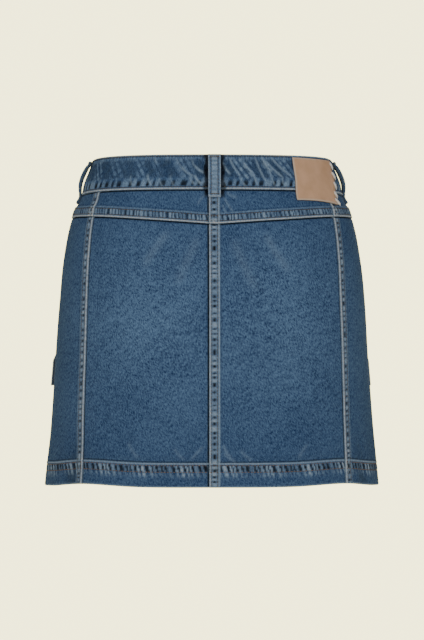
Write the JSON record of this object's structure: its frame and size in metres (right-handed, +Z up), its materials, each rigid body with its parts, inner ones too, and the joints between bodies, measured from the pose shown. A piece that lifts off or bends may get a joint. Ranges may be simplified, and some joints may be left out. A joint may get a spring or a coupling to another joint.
{
  "type": "denim skirt",
  "caption": "Short A-line skirt in mid-blue denim, filled out as worn, with a contoured waistband, back yoke, belt loops, blank leather patch, side cargo pockets and a stitched hem",
  "frame": {"origin": "centre of the waist opening, level with the back top edge of the waistband, where the wearer's waist holds the skirt up", "axes": "+Z up, +X to the wearer's left, the front faces -Y and the back +Y"},
  "size_m": [0.3941, 0.2581, 0.3856],
  "materials": {
    "denim": "washed right-hand twill denim, faded on its ridges and seam edges",
    "thread": "spun topstitching thread, tan to faded brown",
    "leather": "matt tan leather with a raw cut edge",
    "metal": "antiqued copper-brass",
    "zip_tape": "woven navy tape"
  },
  "bodies": {
    "root": {"waistband": "denim", "back_yoke_left": "denim", "back_yoke_right": "denim", "front_yoke_left": "denim", "front_yoke_right": "denim", "back_panel_left": "denim", "back_panel_right": "denim", "front_panel_left": "denim", "front_panel_right": "denim", "pocket_bag_left": "denim", "pocket_bag_right": "denim", "pocket_flap_left": "denim", "pocket_flap_right": "denim", "belt_loop_back": "denim", "belt_loop_side_left": "denim", "belt_loop_side_right": "denim", "belt_loop_front_left": "denim", "belt_loop_front_right": "denim", "fly_shield": "denim", "zip_tape": "zip_tape", "zip_slider": "metal", "waist_button": "metal", "leather_patch": "leather"}
  },
  "joints": []
}
